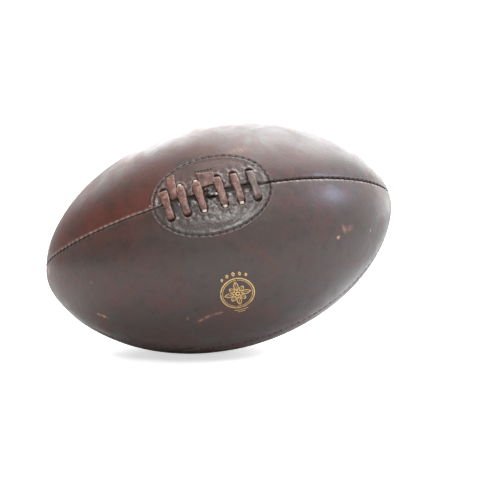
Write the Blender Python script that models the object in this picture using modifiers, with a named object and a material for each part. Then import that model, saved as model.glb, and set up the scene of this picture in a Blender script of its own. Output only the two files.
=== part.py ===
"""Laced four-panel leather rugby ball, built in layers from the cover to the bladder.

Metres, +Z up. The ball's long axis is X and its centre is the origin. The laced seam faces the
front (-Y), LACE_SEAM above the horizontal, and the other three seams follow at quarter turns.
"""

import math

import bmesh
import bpy
from mathutils import Matrix, Vector

# Driving dimensions
HALF_LENGTH = 0.145
HALF_WIDTH = 0.0917
POINTEDNESS = 0.594  # the profile's power: 0.5 is an ellipse, and more is more pointed
PANEL_BULGE = 0.006  # how much the panels swell between their seams, as a share of the radius
LACE_SEAM = math.radians(28)
QUARTER = math.radians(90)

# Layers, as depths under the outer surface
LEATHER = 0.0022
LINING_DEPTH = 0.0029
LINING = 0.0005
FACING_DEPTH = 0.0029
FACING = 0.0016
UNDER_RUN_DEPTH = 0.0055
TONGUE_DEPTH = 0.0065
TONGUE = 0.0011
BLADDER_DEPTH = 0.0048
BLADDER_DENT_DEPTH = 0.0083
BLADDER_WALL = 0.0007

# Seams
SEAM_HALF_GAP = 0.00025
SEAM_ALLOWANCE = 0.003
PANEL_TIP_RADIUS = 0.002
LINING_TIP_RADIUS = 0.010
THREAD_TIP_RADIUS = 0.014
SEAM_THREAD_DEPTH = 0.0031
SEAM_THREAD_GAP = 0.002  # from a seam's thread to the end of the facings
THREAD_RADIUS = 0.0004
GROOVE_RADIUS = 0.00075
GROOVE_DEPTH = 0.00035

# Lacing
LACING_X = 0.002
BAR_PITCH = 0.0122
MIDDLE_PITCH = 0.0154
BARS = 6
HOLE_OFFSET = 0.0111
HOLE_RADIUS = 0.00325
LACE_HALF_WIDTH = 0.0026
UNDER_RUN_HALF_WIDTH = 0.0019
LACE = 0.0012
LACE_HEIGHT = 0.001
LACE_TAIL_X = -0.0241
LACE_TAIL_SPAN = (0.0012, 0.021)

# The lace through a hole: (distance short of the hole's centre, height) from outside to inside
HOLE_PASS = (
    (0.0007, 0.00075),
    (0.00015, 0.0),
    (0.0, -0.001),
    (0.0, -0.004),
    (0.0002, -0.0049),
    (0.0009, -0.0054),
)
BAR_END = HOLE_OFFSET - 0.0019
UNDER_RUN_END = HOLE_OFFSET - 0.0021
UNDER_RUN_DETOUR = 0.0045  # how far the middle run bends back, to pass beside the neck
LACE_END_STEPS = (0, 0.003, 0.006)

# Ovals round the lacing, as half sizes along and across
STITCH_OVAL = (0.0435, 0.031)
FACING_OVAL = (0.047, 0.0335)
WINDOW_OVAL = (0.0495, 0.0335)
TONGUE_OVAL = (0.046, 0.02)
DENT_OVAL = (0.06, 0.034)
DENT_FLOOR = 0.8
DENT_RIM = 1.4
TAB_LENGTH = 0.0094
TAB_SPAN = (0.0056, 0.0165)
TAB = 0.0009

# Bladder neck, a tube that is folded over and tied above the cover
NECK_RADIUS = 0.0022
NECK_BORE = 0.0014
NECK_HOLE = 0.0026
NECK_FOOT = -0.0079
NECK_WAIST = (0.003, 0.0013)
NECK_HEAD = (0.0046, 0.002)
NECK_TOP = 0.0028
NECK_ROUNDING = (0.0018, 0.0002)
TIE_RADIUS = 0.00045
CLEARANCE = 0.0003

# Mesh density
PANEL_GRID = (24, 8)
LACE_PANEL_GRID = (24, 10)
LINING_GRID = (20, 6)
LACE_LINING_GRID = (20, 8)
FACING_GRID = (14, 5)
FACING_SWEEP = math.radians(80)
TONGUE_GRID = (12, 6)
TONGUE_SWEEP = math.radians(75)
BLADDER_GRID = (30, 18)
STRIP_GRID = (3, 6)
GRADE = 1.3
STITCH_LINE_STEPS = 44
BAR_STEPS = 6
UNDER_RUN_STEPS = 8
DETOUR_STEPS = 10
NECK_STEPS = 16
TIE_STEPS = 20
SHORT_SEAM_STEPS = 12
SEAM_STEPS = 28
SMALL = 1e-4

# Cutters, as (length, sides)
HOLE_CUTTER = (0.016, 10)
NECK_HOLE_CUTTER = (0.03, 12)
NECK_BORE_CUTTER = (0.03, 10)
WINDOW_CUTTER = (0.04, 36)

COLLECTION = bpy.data.collections.new("rugby_ball")
CUTTERS = bpy.data.collections.new("cutters")


def material(name, colour, roughness, metallic=0.0):
    made = bpy.data.materials.new(name)
    made.use_nodes = True
    shader = made.node_tree.nodes["Principled BSDF"]
    shader.inputs["Base Color"].default_value = (*colour, 1.0)
    shader.inputs["Roughness"].default_value = roughness
    shader.inputs["Metallic"].default_value = metallic
    made.diffuse_color = (*colour, 1.0)
    return made


def add_object(name, data, look=None):
    made = bpy.data.objects.new(name, data)
    (COLLECTION if look else CUTTERS).objects.link(made)
    if look:
        data.materials.append(look)
    else:
        made.hide_render = True
        made.display_type = "WIRE"
    return made


def smooth_step(value):
    value = min(1.0, max(0.0, value))
    return value * value * (3 - 2 * value)


# The ball's surface. turn is the angle about X from the front, and latitude runs pole to pole.


def radius_at(latitude):
    return HALF_WIDTH * math.cos(latitude) ** (2 * POINTEDNESS)


def latitude_of_radius(radius):
    return math.acos((radius / HALF_WIDTH) ** (1 / (2 * POINTEDNESS)))


def surface(latitude, turn):
    radius = radius_at(latitude) * (1 - PANEL_BULGE * math.cos(4 * (turn - LACE_SEAM)))
    x = HALF_LENGTH * math.sin(latitude)
    return Vector((x, -radius * math.cos(turn), radius * math.sin(turn)))


def outward(latitude, turn):
    along = surface(latitude + SMALL, turn) - surface(latitude - SMALL, turn)
    around = surface(latitude, turn + SMALL) - surface(latitude, turn - SMALL)
    return along.cross(around).normalized()


def layer(latitude, turn, depth):
    """The point that lies depth under the surface."""
    if abs(latitude) > QUARTER - 2 * SMALL:
        return Vector((math.copysign(HALF_LENGTH - depth, latitude), 0, 0))
    return surface(latitude, turn) - outward(latitude, turn) * depth


# The laced area. x is along the seam, across is the arc from it, and height is over the surface.


def lace_angles(x, across):
    latitude = math.asin(x / HALF_LENGTH)
    return latitude, LACE_SEAM + across / radius_at(latitude)


def lace_point(x, across, height):
    return layer(*lace_angles(x, across), -height)


def lace_frame(x, across, height=0.0):
    """A matrix with X along the seam, Z outwards and its origin at the point."""
    normal = outward(*lace_angles(x, across))
    along = (Vector((1, 0, 0)) - normal * normal.x).normalized()
    turn = Matrix((along, normal.cross(along), normal)).transposed().to_4x4()
    return Matrix.Translation(lace_point(x, across, height)) @ turn


def bar_x(index):
    """Where a lace bar crosses the seam. The pitch is wider in the middle, for the neck."""
    from_middle = index - (BARS - 1) / 2
    step = abs(from_middle) - 0.5
    return LACING_X + math.copysign(MIDDLE_PITCH / 2 + step * BAR_PITCH, from_middle)


# Modelling


def bent_grid(name, rows, columns, place, thickness, look, offset=-1.0):
    """A flat grid bent to place(u, v), with u and v from 0 to 1, then thickened."""
    mesh = bpy.data.meshes.new(name)
    work = bmesh.new()
    bmesh.ops.create_grid(work, x_segments=rows, y_segments=columns, size=0.5)
    for vert in work.verts:
        vert.co = place(vert.co.x + 0.5, vert.co.y + 0.5)
    work.to_mesh(mesh)
    work.free()
    mesh.shade_smooth()
    part = add_object(name, mesh, look)
    thicken(part, thickness, offset)
    return part


def thicken(part, thickness, offset=-1.0):
    skin = part.modifiers.new("Thickness", "SOLIDIFY")
    skin.thickness = thickness
    skin.offset = offset
    skin.use_even_offset = True


def cut(part, *cutters):
    for cutter in cutters:
        bite = part.modifiers.new(cutter.name, "BOOLEAN")
        bite.object = cutter
        bite.operation = "DIFFERENCE"
        bite.solver = "EXACT"


def cylinders(name, places, radius, size):
    """One cutter of a cylinder at each place, with a matrix each. size is (length, sides)."""
    mesh = bpy.data.meshes.new(name)
    work = bmesh.new()
    for place in places:
        bmesh.ops.create_cone(
            work,
            cap_ends=True,
            segments=size[1],
            radius1=radius,
            radius2=radius,
            depth=size[0],
            matrix=place,
        )
    work.to_mesh(mesh)
    work.free()
    return add_object(name, mesh)


def cord(name, points, radius, look, cyclic=False):
    curve = bpy.data.curves.new(name, "CURVE")
    curve.dimensions = "3D"
    curve.bevel_depth = radius
    curve.bevel_resolution = 1
    curve.use_fill_caps = not cyclic
    spline = curve.splines.new("POLY")
    spline.points.add(len(points) - 1)
    for made, point in zip(spline.points, points):
        made.co = (*point, 1.0)
    spline.use_cyclic_u = cyclic
    return add_object(name, curve, look)


def cord_cutter(name, points, radius):
    """A closed loop of tube as a mesh, because a curve can't be a cutter."""
    curve = cord(name, points, radius, None, cyclic=True)
    bpy.context.view_layer.update()
    ready = curve.evaluated_get(bpy.context.evaluated_depsgraph_get())
    mesh = bpy.data.meshes.new_from_object(ready)
    bpy.data.objects.remove(curve)
    return add_object(name, mesh)


def turned(name, profile, steps, place, look):
    """A profile of (radius, height) points, top to bottom down its outer side, turned about Z."""
    mesh = bpy.data.meshes.new(name)
    work = bmesh.new()
    verts = [work.verts.new((radius, 0, height)) for radius, height in profile]
    for first, second in zip(verts, verts[1:]):
        work.edges.new((first, second))
    work.to_mesh(mesh)
    work.free()
    part = add_object(name, mesh, look)
    part.matrix_world = place
    screw = part.modifiers.new("Turn", "SCREW")
    screw.steps = steps
    screw.render_steps = steps
    screw.use_merge_vertices = True
    screw.merge_threshold = SMALL
    screw.use_smooth_shade = True
    return part


# Pieces


def gore(name, seam, depth, thickness, edge, tip_radius, grid, finer, look):
    """A quarter of a layer from seam to the next one, edge short of each.

    grid is its rows and columns. finer is 1 where the first seam is the laced one, -1 where
    the second is, and 0 elsewhere: the columns are narrower near the laced seam.
    """
    reach = latitude_of_radius(tip_radius)

    def share(v):
        if finer > 0:
            return v**GRADE
        if finer < 0:
            return 1 - (1 - v) ** GRADE
        return v

    def place(u, v):
        latitude = (2 * u - 1) * reach
        start = edge / radius_at(latitude)
        return layer(latitude, seam + start + (QUARTER - 2 * start) * share(v), depth)

    return bent_grid(name, *grid, place, thickness, look)


def facing(name, side, look):
    """Half of the oval reinforcement under the lace holes."""
    length, width = FACING_OVAL
    inner = 2 * SEAM_HALF_GAP

    def place(u, v):
        share = math.sin((2 * u - 1) * FACING_SWEEP)
        outer = width * math.sqrt(1 - share**2)
        near = v if side > 0 else 1 - v
        across = side * (inner + (outer - inner) * near)
        return lace_point(LACING_X + length * share, across, -FACING_DEPTH)

    return bent_grid(name, *FACING_GRID, place, FACING, look)


def tongue(look):
    """The oval guard between the lace and the bladder."""
    length, width = TONGUE_OVAL

    def place(u, v):
        share = math.sin((2 * u - 1) * TONGUE_SWEEP)
        across = (2 * v - 1) * width * math.sqrt(1 - share**2)
        return lace_point(LACING_X + length * share, across, -TONGUE_DEPTH)

    return bent_grid("tongue", *TONGUE_GRID, place, TONGUE, look)


def bladder(look):
    """A closed bag against the linings, pressed in under the tongue."""
    mesh = bpy.data.meshes.new("bladder")
    work = bmesh.new()
    around, along = BLADDER_GRID
    bmesh.ops.create_uvsphere(work, u_segments=around, v_segments=along, radius=1)
    for vert in work.verts:
        latitude = math.asin(min(1, max(-1, vert.co.z)))
        turn = math.atan2(vert.co.y, vert.co.x)
        x = HALF_LENGTH * math.sin(latitude) - LACING_X
        offset = math.remainder(turn - LACE_SEAM, math.tau) * radius_at(latitude)
        place = math.hypot(x / DENT_OVAL[0], offset / DENT_OVAL[1])
        rise = smooth_step((place - DENT_FLOOR) / (DENT_RIM - DENT_FLOOR))
        depth = BLADDER_DENT_DEPTH + (BLADDER_DEPTH - BLADDER_DENT_DEPTH) * rise
        vert.co = layer(latitude, turn, depth)
    bmesh.ops.reverse_faces(work, faces=work.faces)
    work.to_mesh(mesh)
    work.free()
    mesh.shade_smooth()
    part = add_object("bladder", mesh, look)
    thicken(part, BLADDER_WALL)
    return part


def lace_run(points, inside, half_width):
    """Stations along a run of the lace, each its centre and the vector to its edge."""
    stations = []
    for index, (x, across, height) in enumerate(points):
        before = points[max(0, index - 1)]
        after = points[min(len(points) - 1, index + 1)]
        heading = Vector((after[0] - before[0], after[1] - before[1])).normalized()
        side = heading.orthogonal() if not inside else -heading.orthogonal()
        frame = lace_frame(x, across, height)
        edge = frame.to_3x3() @ Vector((side.x, side.y, 0)) * half_width(index, len(points))
        stations.append((frame.translation, edge))
    return stations


def lace(look):
    """One flat strip: six bars outside, joined by runs behind the facings."""
    stations = []

    def full(index, count):
        return LACE_HALF_WIDTH

    def narrowed(index, count):
        middle = math.sin(math.pi * index / (count - 1))
        return LACE_HALF_WIDTH + (UNDER_RUN_HALF_WIDTH - LACE_HALF_WIDTH) * smooth_step(2 * middle)

    def through_hole(x, side, heading, downwards):
        steps = HOLE_PASS if downwards else HOLE_PASS[::-1]
        edge = Vector((-heading, 0, 0)) * LACE_HALF_WIDTH
        for short, height in steps:
            frame = lace_frame(x, side * (HOLE_OFFSET - short), height)
            stations.append((frame.translation, frame.to_3x3() @ edge))

    def end_run(x, outgoing):
        points = [(x, UNDER_RUN_END - step, -UNDER_RUN_DEPTH) for step in LACE_END_STEPS]
        stations.extend(lace_run(points if outgoing else points[::-1], True, full))

    end_run(bar_x(0), False)
    for index in range(BARS):
        heading = -1 if index < BARS / 2 else 1
        x = bar_x(index)
        through_hole(x, -heading, heading, False)
        reach = heading * BAR_END
        bar = [
            (x, reach * (2 * step / BAR_STEPS - 1), LACE_HEIGHT)
            for step in range(BAR_STEPS + 1)
        ]
        stations.extend(lace_run(bar, False, full))
        through_hole(x, heading, heading, True)
        if index == BARS - 1:
            break
        pitch = bar_x(index + 1) - x
        if index == BARS / 2 - 1:
            turns = [math.pi * step / DETOUR_STEPS for step in range(DETOUR_STEPS + 1)]
            run = [
                (
                    x + pitch * (1 - math.cos(turn)) / 2,
                    heading * (UNDER_RUN_END - UNDER_RUN_DETOUR * math.sin(turn)),
                    -UNDER_RUN_DEPTH,
                )
                for turn in turns
            ]
        else:
            shares = [step / UNDER_RUN_STEPS for step in range(UNDER_RUN_STEPS + 1)]
            run = [
                (
                    x + pitch * smooth_step(share),
                    heading * UNDER_RUN_END * (1 - 2 * share),
                    -UNDER_RUN_DEPTH,
                )
                for share in shares
            ]
        stations.extend(lace_run(run, True, narrowed))
    end_run(bar_x(BARS - 1), True)

    last = len(stations) - 1

    def place(u, v):
        centre, edge = stations[round(u * last)]
        return centre + edge * (2 * v - 1)

    return bent_grid("lace", last, 1, place, LACE, look, offset=0.0)


def strip(name, x_range, across_range, thickness, look):
    """A small flat piece lying on the cover."""

    def place(u, v):
        x = x_range[0] + (x_range[1] - x_range[0]) * u
        across = across_range[0] + (across_range[1] - across_range[0]) * v
        return lace_point(x, across, CLEARANCE + thickness)

    return bent_grid(name, *STRIP_GRID, place, thickness, look)


def seam_points(seam, start, end, count):
    """Points under a seam, from latitude start to end."""
    step = (end - start) / (count - 1)
    return [layer(start + step * i, seam, SEAM_THREAD_DEPTH) for i in range(count)]


def build():
    leather = material("leather", (0.16, 0.055, 0.028), 0.38)
    canvas = material("canvas", (0.55, 0.47, 0.34), 0.9)
    backing = material("facing_leather", (0.3, 0.15, 0.07), 0.7)
    lace_leather = material("lace_leather", (0.27, 0.09, 0.045), 0.5)
    suede = material("suede", (0.52, 0.38, 0.25), 0.85)
    rubber = material("rubber", (0.07, 0.045, 0.035), 0.35)
    linen = material("linen_thread", (0.5, 0.42, 0.3), 0.8)
    tie_cord = material("tie_cord", (0.42, 0.3, 0.18), 0.8)

    neck = lace_frame(LACING_X, 0)
    sides = {"upper": 1, "lower": -1}
    holes = {
        name: cylinders(
            f"lace_holes_{name}_cutter",
            [lace_frame(bar_x(i), side * HOLE_OFFSET) for i in range(BARS)],
            HOLE_RADIUS,
            HOLE_CUTTER,
        )
        for name, side in sides.items()
    }
    neck_hole = cylinders("neck_hole_cutter", [neck], NECK_HOLE, NECK_HOLE_CUTTER)
    bladder_hole = cylinders("bladder_hole_cutter", [neck], NECK_BORE, NECK_BORE_CUTTER)
    window = cylinders(
        "window_cutter",
        [neck @ Matrix.Diagonal((WINDOW_OVAL[0], WINDOW_OVAL[1], 1, 1))],
        1,
        WINDOW_CUTTER,
    )
    turns = [math.tau * step / STITCH_LINE_STEPS for step in range(STITCH_LINE_STEPS)]
    stitch_line = [
        lace_point(
            LACING_X + STITCH_OVAL[0] * math.cos(turn),
            STITCH_OVAL[1] * math.sin(turn),
            -GROOVE_DEPTH,
        )
        for turn in turns
    ]
    groove = cord_cutter("stitch_groove_cutter", stitch_line, GROOVE_RADIUS)

    quarters = (
        ("lace_upper", 0, 1),
        ("rear_upper", 1, 0),
        ("rear_lower", 2, 0),
        ("lace_lower", 3, -1),
    )
    for name, step, finer in quarters:
        seam = LACE_SEAM + step * QUARTER
        panel = gore(
            f"panel_{name}",
            seam,
            0,
            LEATHER,
            SEAM_HALF_GAP,
            PANEL_TIP_RADIUS,
            LACE_PANEL_GRID if finer else PANEL_GRID,
            finer,
            leather,
        )
        lining = gore(
            f"lining_{name}",
            seam,
            LINING_DEPTH,
            LINING,
            SEAM_ALLOWANCE,
            LINING_TIP_RADIUS,
            LACE_LINING_GRID if finer else LINING_GRID,
            finer,
            canvas,
        )
        if finer:
            cut(panel, holes["upper" if finer > 0 else "lower"], neck_hole, groove)
            cut(lining, window)

    for name, side in sides.items():
        cut(facing(f"facing_{name}", side, backing), holes[name], neck_hole)
    cut(tongue(suede), neck_hole)
    cut(bladder(rubber), bladder_hole)

    turned(
        "bladder_neck",
        [
            (0, NECK_TOP),
            (NECK_HEAD[0] - NECK_ROUNDING[0], NECK_TOP - NECK_ROUNDING[1]),
            NECK_HEAD,
            NECK_WAIST,
            (NECK_WAIST[0], CLEARANCE),
            (NECK_RADIUS, CLEARANCE),
            (NECK_RADIUS, NECK_FOOT),
            (NECK_BORE, NECK_FOOT),
            (NECK_BORE, 0),
            (0, 0),
        ],
        NECK_STEPS,
        neck,
        rubber,
    )
    tie_turn = NECK_WAIST[0] + CLEARANCE + TIE_RADIUS
    cord(
        "neck_tie",
        [
            neck @ Vector((tie_turn * math.cos(a), tie_turn * math.sin(a), CLEARANCE + TIE_RADIUS))
            for a in [math.tau * step / TIE_STEPS for step in range(TIE_STEPS)]
        ],
        TIE_RADIUS,
        tie_cord,
        cyclic=True,
    )
    lace(lace_leather)
    strip(
        "lace_tail",
        (LACE_TAIL_X - LACE_HALF_WIDTH, LACE_TAIL_X + LACE_HALF_WIDTH),
        LACE_TAIL_SPAN,
        LACE,
        lace_leather,
    )
    strip(
        "tongue_tab",
        (LACING_X - TAB_LENGTH / 2, LACING_X + TAB_LENGTH / 2),
        TAB_SPAN,
        TAB,
        lace_leather,
    )
    cord("stitch_oval", stitch_line, THREAD_RADIUS, linen, cyclic=True)

    reach = latitude_of_radius(THREAD_TIP_RADIUS)
    clear = FACING_OVAL[0] + SEAM_THREAD_GAP
    left_end = math.asin((LACING_X - clear) / HALF_LENGTH)
    right_end = math.asin((LACING_X + clear) / HALF_LENGTH)
    runs = (
        ("seam_thread_lace_left", 0, -reach, left_end, SHORT_SEAM_STEPS),
        ("seam_thread_lace_right", 0, right_end, reach, SHORT_SEAM_STEPS),
        ("seam_thread_top", 1, -reach, reach, SEAM_STEPS),
        ("seam_thread_rear", 2, -reach, reach, SEAM_STEPS),
        ("seam_thread_bottom", 3, -reach, reach, SEAM_STEPS),
    )
    for name, step, start, end, count in runs:
        points = seam_points(LACE_SEAM + step * QUARTER, start, end, count)
        cord(name, points, THREAD_RADIUS, linen)


for old in list(bpy.data.objects):
    bpy.data.objects.remove(old)
for made_collection in (COLLECTION, CUTTERS):
    bpy.context.scene.collection.children.link(made_collection)
build()
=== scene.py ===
"""Visual model of the laced leather rugby ball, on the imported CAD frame.

The ball's long axis is X. A point on its skin has a latitude, from tip to tip, and a turn about X
from the front. In the laced area it has x along the seam and an arc across it. Depths and heights
are measured from the CAD cover's outer surface. Metres throughout.
"""

import math

import bpy
import numpy as np
from mathutils import Matrix, Vector


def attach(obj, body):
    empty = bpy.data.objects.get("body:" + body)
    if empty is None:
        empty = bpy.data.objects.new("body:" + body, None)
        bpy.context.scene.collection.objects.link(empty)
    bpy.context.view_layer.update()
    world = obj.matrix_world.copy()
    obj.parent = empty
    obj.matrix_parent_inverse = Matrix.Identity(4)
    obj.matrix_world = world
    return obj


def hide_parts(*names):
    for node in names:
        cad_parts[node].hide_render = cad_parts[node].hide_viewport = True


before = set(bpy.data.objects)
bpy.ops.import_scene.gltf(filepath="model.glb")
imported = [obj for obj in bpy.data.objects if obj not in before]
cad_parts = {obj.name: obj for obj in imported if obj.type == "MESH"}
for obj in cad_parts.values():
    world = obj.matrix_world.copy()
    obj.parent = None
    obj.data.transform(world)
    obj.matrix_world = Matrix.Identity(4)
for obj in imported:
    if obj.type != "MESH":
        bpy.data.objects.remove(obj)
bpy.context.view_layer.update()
MM = 0.001

# The skin, the same shape as the CAD cover
HALF_LENGTH = 0.145
HALF_WIDTH = 0.0917
POINTEDNESS = 0.594
PANEL_BULGE = 0.006
LACE_SEAM = math.radians(28)
QUARTER = math.radians(90)
TIP_LATITUDE = math.radians(88.2)
TIP_SHIFT = 7 * MM
TIP_SHIFT_REACH = 90 * MM
TIP_RADIUS = 0.3 * MM
LEATHER = 2.2 * MM
STEP = 1e-4
PATH_SAMPLES = 721

# Seams and stitches
SEAM_GAP = 0.08 * MM
STITCH_PITCH = 5.0 * MM
STITCH_RADIUS = 0.42 * MM
STITCH_STEPS = 9
STITCH_SLANT = 0.9 * MM
STITCH_REACH = 2.1 * MM
OVAL_STITCH_REACH = 2.0 * MM
STITCHES_END = math.radians(81)

# Lacing
LACING_X = 2.0 * MM
BAR_PITCH = 12.2 * MM
MIDDLE_PITCH = 15.4 * MM
BARS = 6
HOLE_OFFSET = 11.1 * MM
UPPER_SHIFT = -1.7 * MM
HOLE_RADIUS = 2.35 * MM
HOLE_DEPTH = 4.6 * MM
HOLE_OPEN = 0.97
SLIT_HALF_LENGTH = 40 * MM
SLIT_HALF_GAP = 1.35 * MM
NECK_GAP = 3.2 * MM
NECK_GAP_REACH = 5.5 * MM
STITCH_OVAL = (43.5 * MM, 31.4 * MM)
LACE_HALF_WIDTH = 2.75 * MM
LACE_HALF_THICKNESS = 0.7 * MM
RUN_HALF_WIDTH = 1.9 * MM
RUN_DEPTH = 5.5 * MM
RUN_DETOUR = 4.5 * MM
TAIL_HALF_WIDTH = 2.9 * MM
TAIL_HALF_THICKNESS = 0.6 * MM
TAIL_PULL = 2.4 * MM
TAIL_PULL_X = -27 * MM
TAIL_PULL_REACH = 11 * MM

# Inner layers. The lining's and bladder's ends are latitudes, and the tongue's and facings' are
# angles along their ovals, the facings' in degrees
FACING_OVAL = (47 * MM, 33.5 * MM)
FACING_END = 80
FACING_SEAM = 3.2 * MM
FACING_HOLE = 3.1 * MM
FACING_DEPTH = 3.7 * MM
FACING = 1.2 * MM
TAB = 0.9 * MM
TONGUE_OVAL = (46 * MM, 20 * MM)
TONGUE_END = math.radians(75)
TONGUE_DEPTH = 4.3 * MM
TONGUE = 1.1 * MM
LINING_END = 1.3
LINING_WINDOW = (49.5 * MM, 35.5 * MM)
LINING_SEAM = 3 * MM
LINING_DEPTH = 4.4 * MM
LINING = 0.5 * MM
BLADDER_END = 1.5
BLADDER_DENT = (60 * MM, 34 * MM)
BLADDER_DENT_DEPTH = 8.6 * MM
BLADDER_DEPTH = 6.0 * MM

# Rows and columns of the plainer meshes, and the sides of the round ones
TAB_GRID = (34, 44)
TONGUE_GRID = (90, 60)
FACING_GRID = (120, 60)
LINING_GRID = (110, 60)
BLADDER_GRID = (160, 160)
FLOOR_GRID = (9, 64)
NECK_SIDES = 72
STRIP_SIDES = 12
STRIP_CORNERS = (0.45, 0.6)
THREAD_SIDES = 8


def smooth_step(value):
    value = np.clip(value, 0.0, 1.0)
    return value * value * (3 - 2 * value)


def bump(distance, width):
    return np.exp(-((distance / width) ** 2))


def unit(vectors):
    return vectors / np.linalg.norm(vectors, axis=-1, keepdims=True)


def ring(count):
    """Evenly spaced angles round a circle."""
    return np.arange(count) * math.tau / count


def lengths_along(points):
    """The length of a path from its start to each of its points."""
    return np.concatenate([[0], np.cumsum(np.linalg.norm(np.diff(points, axis=0), axis=1))])


# The skin


def radius_at(latitude):
    return HALF_WIDTH * np.cos(latitude) ** (2 * POINTEDNESS)


def skin(latitude, turn):
    radius = radius_at(latitude) * (1 - PANEL_BULGE * np.cos(4 * (turn - LACE_SEAM)))
    x = HALF_LENGTH * np.sin(latitude) + 0 * turn
    return np.stack([x, -radius * np.cos(turn), radius * np.sin(turn)], axis=-1)


def outward(latitude, turn):
    along = skin(latitude + STEP, turn) - skin(latitude - STEP, turn)
    around = skin(latitude, turn + STEP) - skin(latitude, turn - STEP)
    return unit(np.cross(along, around))


def raised(latitude, turn, height):
    """Points at a height over the skin."""
    return skin(latitude, turn) + outward(latitude, turn) * np.asarray(height)[..., None]


def lace_angles(x, across):
    latitude = np.arcsin(np.asarray(x) / HALF_LENGTH)
    return latitude, LACE_SEAM + np.asarray(across) / radius_at(latitude)


def lace_point(x, across, height):
    latitude, turn = lace_angles(x, across)
    return raised(latitude, turn, np.asarray(height) + 0 * turn)


def skin_frame(latitude, turn, height=0.0):
    """A matrix with X along the ball, Z outwards and its origin on the skin."""
    normal = Vector(outward(np.float64(latitude), np.float64(turn)))
    along = (Vector((1, 0, 0)) - normal * normal.x).normalized()
    axes = Matrix((along, normal.cross(along), normal)).transposed().to_4x4()
    origin = Vector(raised(np.float64(latitude), np.float64(turn), height))
    return Matrix.Translation(origin) @ axes


def bar_x(index):
    from_middle = index - (BARS - 1) / 2
    step = abs(from_middle) - 0.5
    return LACING_X + math.copysign(MIDDLE_PITCH / 2 + step * BAR_PITCH, from_middle)


def hole_x(index, side):
    """x of a lace hole. The upper row, side 1, sits a little to the left of the lower one."""
    return bar_x(index) + (UPPER_SHIFT if side > 0 else 0)


def lean(across):
    """How far a bar is to the left of its lower hole, at a distance across the slit."""
    return UPPER_SHIFT * (0.5 + 0.5 * across / HOLE_OFFSET)


# Noise, the same on every run


def lattice_value(cell, seed):
    """An integer hash of a cell, from -1 to 1."""
    mixed = cell[..., 0] * 73856093 ^ cell[..., 1] * 19349663 ^ cell[..., 2] * 83492791
    mixed = (mixed ^ seed * 2654435761) & 0xFFFFFFFF
    mixed = ((mixed >> 15) ^ mixed) * 2246822519 & 0xFFFFFFFF
    mixed = ((mixed >> 13) ^ mixed) * 3266489917 & 0xFFFFFFFF
    return (mixed >> 8) / float(1 << 23) - 1.0


def lumps(points, size, seed=0):
    """Smooth noise from -1 to 1, with features about size across."""
    scaled = np.asarray(points) / size
    cell = np.floor(scaled).astype(np.int64)
    part = smooth_step(scaled - cell)
    total = 0.0
    for corner in np.ndindex(2, 2, 2):
        weight = np.prod(np.where(corner, part, 1 - part), axis=-1)
        total = total + weight * lattice_value(cell + np.array(corner), seed)
    return total


# Relief of the cover


def meridian_length(latitude):
    """Arc length from the middle along the skin, at each latitude."""
    samples = np.linspace(-TIP_LATITUDE, TIP_LATITUDE, PATH_SAMPLES)
    lengths = lengths_along(skin(samples, np.full_like(samples, LACE_SEAM)))
    return np.interp(latitude, samples, lengths - lengths[PATH_SAMPLES // 2])


def oval_arc(angle):
    """Arc length round the stitched oval at each angle, and its whole length."""
    samples = np.linspace(0, math.tau, PATH_SAMPLES)
    lengths = lengths_along(np.array(STITCH_OVAL) * np.stack([np.cos(samples), np.sin(samples)], -1))
    return np.interp(np.mod(angle, math.tau), samples, lengths), lengths[-1]


def oval_coordinates(x, across):
    """Distance outside the stitched oval, and the angle round it."""
    u = (x - LACING_X) / STITCH_OVAL[0]
    v = across / STITCH_OVAL[1]
    share = np.maximum(np.hypot(u, v), 1e-6)
    slope = np.hypot(u / STITCH_OVAL[0], v / STITCH_OVAL[1]) / share
    return (share - 1) / np.maximum(slope, 1e-6), np.arctan2(v, u)


def off_centre(latitude, turn):
    """The same place with the left tip's seams drawn up, to meet TIP_SHIFT off the axis."""
    radius = radius_at(latitude)
    shift = TIP_SHIFT * (1 - smooth_step(radius / TIP_SHIFT_REACH))
    y = shift * math.sin(LACE_SEAM) - radius * np.cos(turn)
    z = shift * math.cos(LACE_SEAM) + radius * np.sin(turn)
    share = np.clip(np.hypot(y, z), TIP_RADIUS, HALF_WIDTH) / HALF_WIDTH
    moved = latitude < 0
    return (
        np.where(moved, -np.arccos(share ** (0.5 / POINTEDNESS)), latitude),
        np.where(moved, np.arctan2(z, -y), turn),
    )


def slit_shift(x):
    """How far the lace's loose end pulls the slit upwards."""
    return TAIL_PULL * bump(x - TAIL_PULL_X, TAIL_PULL_REACH)


def slit_half_gap(x):
    """Half the width of the gap in the laced seam: a slit, wider where the neck comes out."""
    slit = smooth_step((SLIT_HALF_LENGTH - np.abs(x - LACING_X)) / (9 * MM))
    neck = bump(x - LACING_X, NECK_GAP_REACH)
    return SEAM_GAP + SLIT_HALF_GAP * slit + (NECK_GAP - SLIT_HALF_GAP) * neck


def openness(x, laced):
    """How wide a seam is pulled open, from 0 to 1. The laced seam is tight on its left."""
    if not laced:
        return 0.35 + 0 * x
    return 0.12 + 0.75 * smooth_step((x + 20 * MM) / (70 * MM))


def seam_wear_and_highlight(x, laced, side):
    """How pale a seam's lip is painted, for wear and as a painted highlight where the lip catches the
    light: on the laced seam, the upper lip's left and the lower's right.
    """
    if not laced:
        return 0.35 + 0 * x
    left = smooth_step((-30 * MM - x) / (20 * MM))
    right = smooth_step((x - 40 * MM) / (10 * MM))
    return 0.15 + 0.85 * (left if side > 0 else right)


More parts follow.
